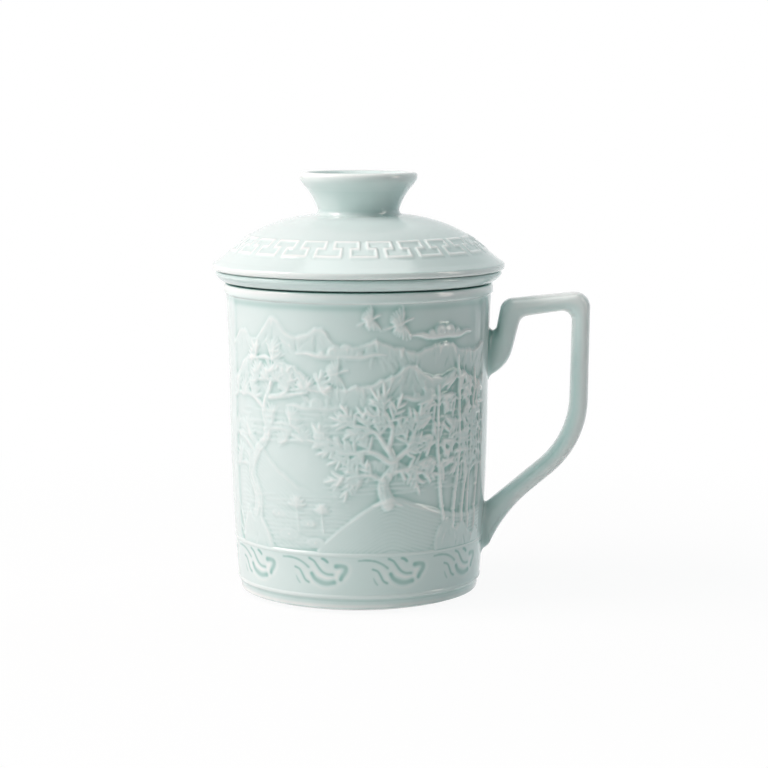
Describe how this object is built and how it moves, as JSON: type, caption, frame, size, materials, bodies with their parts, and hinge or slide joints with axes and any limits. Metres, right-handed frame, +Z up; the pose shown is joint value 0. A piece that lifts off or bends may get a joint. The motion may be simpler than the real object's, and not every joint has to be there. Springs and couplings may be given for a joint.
{
  "type": "lidded tea mug with infuser",
  "caption": "Straight porcelain tea mug with an ear handle, a lift-out infuser that hangs from the lip, and a domed lid with a flared hollow knob and a key fret.",
  "frame": {"origin": "centre of the mug's foot ring, on the table", "axes": "+Z up along the mug's axis, +X towards the handle"},
  "size_m": [0.1267, 0.0978, 0.1418],
  "materials": {
    "body_glaze": "glossy pale blue-green celadon glaze",
    "infuser_glaze": "glossy pale blue-green celadon glaze",
    "lid_glaze": "glossy pale blue-green celadon glaze"
  },
  "bodies": {
    "mug": {"mug_body": "body_glaze", "mug_handle": "body_glaze"},
    "infuser": {"infuser_basket": "infuser_glaze"},
    "lid": {"lid_cover": "lid_glaze", "lid_knob": "lid_glaze"}
  },
  "joints": [
    {"name": "infuser_lift", "type": "slide", "parent": "mug", "child": "infuser", "axis": [0, 0, 1], "range_m": [0, 0.075]},
    {"name": "lid_lift", "type": "slide", "parent": "infuser", "child": "lid", "axis": [0, 0, 1], "range_m": [0, 0.05]}
  ]
}
